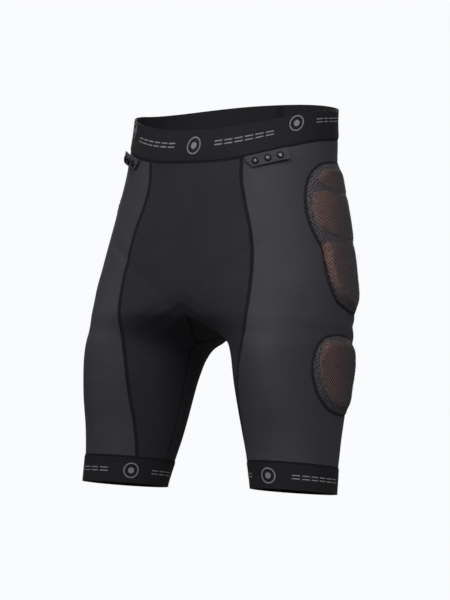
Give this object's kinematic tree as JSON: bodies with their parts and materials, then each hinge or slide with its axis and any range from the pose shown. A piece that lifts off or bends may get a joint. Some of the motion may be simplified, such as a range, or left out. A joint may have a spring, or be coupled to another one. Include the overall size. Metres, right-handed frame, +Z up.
{
  "type": "padded impact shorts",
  "caption": "Snug protective liner short with soft impact pads in sewn mesh pockets at both hips and thighs, snap tabs at the waist and elastic waist and leg bands.",
  "frame": {"origin": "on the level the two leg hems rest on, midway between the legs", "axes": "+Z up, the wearer faces -Y, the wearer's left is +X"},
  "size_m": [0.3408, 0.2272, 0.479],
  "materials": {
    "jersey": "smooth stretch knit",
    "mesh": "open stretch mesh",
    "tape": "woven tape",
    "elastic": "jacquard elastic",
    "silicone": "translucent grip dots",
    "thread": "flatlock thread",
    "impact_foam": "soft moulded impact foam",
    "binding": "rolled binding",
    "seat_fabric": "brushed microfibre",
    "seat_foam": "perforated foam",
    "tab_fabric": "felted webbing",
    "snap_metal": "black lacquered",
    "spring_steel": "bright",
    "label_satin": "blank satin"
  },
  "bodies": {
    "garment": {"back_panel_left": "jersey", "back_panel_right": "jersey", "centre_back_seam": "thread", "crotch_gusset": "jersey", "front_panel": "jersey", "front_seam_left": "thread", "front_seam_right": "thread", "gripper_left": "silicone", "gripper_right": "silicone", "gusset_seam": "thread", "hem_seam_left": "thread", "hem_seam_right": "thread", "hip_binding_left": "binding", "hip_binding_right": "binding", "hip_cover_left": "mesh", "hip_cover_right": "mesh", "hip_pad_left": "impact_foam", "hip_pad_right": "impact_foam", "inseam_left": "thread", "inseam_right": "thread", "leg_band_left": "elastic", "leg_band_right": "elastic", "rear_seam_left": "thread", "rear_seam_right": "thread", "seat_pad_base": "seat_fabric", "seat_pad_insert_front": "seat_foam", "seat_pad_insert_left": "seat_foam", "seat_pad_insert_right": "seat_foam", "side_panel_left": "mesh", "side_panel_right": "mesh", "thigh_binding_left": "binding", "thigh_binding_right": "binding", "thigh_cover_left": "mesh", "thigh_cover_right": "mesh", "thigh_pad_left": "impact_foam", "thigh_pad_right": "impact_foam", "waist_seam": "thread", "waistband": "elastic", "waistband_join_tape": "tape"},
    "tab_left": {"snap_caps_left": "snap_metal", "snap_sockets_left": "snap_metal", "snap_springs_left": "spring_steel", "snap_tab_left": "tab_fabric"},
    "tab_right": {"snap_caps_right": "snap_metal", "snap_sockets_right": "snap_metal", "snap_springs_right": "spring_steel", "snap_tab_right": "tab_fabric"},
    "label": {"care_label": "label_satin"}
  },
  "joints": [
    {"name": "tab_left_fold", "type": "hinge", "parent": "garment", "child": "tab_left", "pos_m": [0.09668, -0.07386, 0.39164], "axis": [-0.7635, -0.5726, -0.2987], "range_deg": [0, 120], "stiffness_Nm_per_rad": 0.0005},
    {"name": "tab_right_fold", "type": "hinge", "parent": "garment", "child": "tab_right", "pos_m": [-0.09668, -0.07386, 0.39164], "axis": [-0.7635, 0.5726, 0.2987], "range_deg": [0, 120], "stiffness_Nm_per_rad": 0.0005},
    {"name": "label_flap", "type": "hinge", "parent": "garment", "child": "label", "pos_m": [0.035, 0.0907, 0.43895], "axis": [-1, 0, 0], "range_deg": [0, 75]}
  ]
}
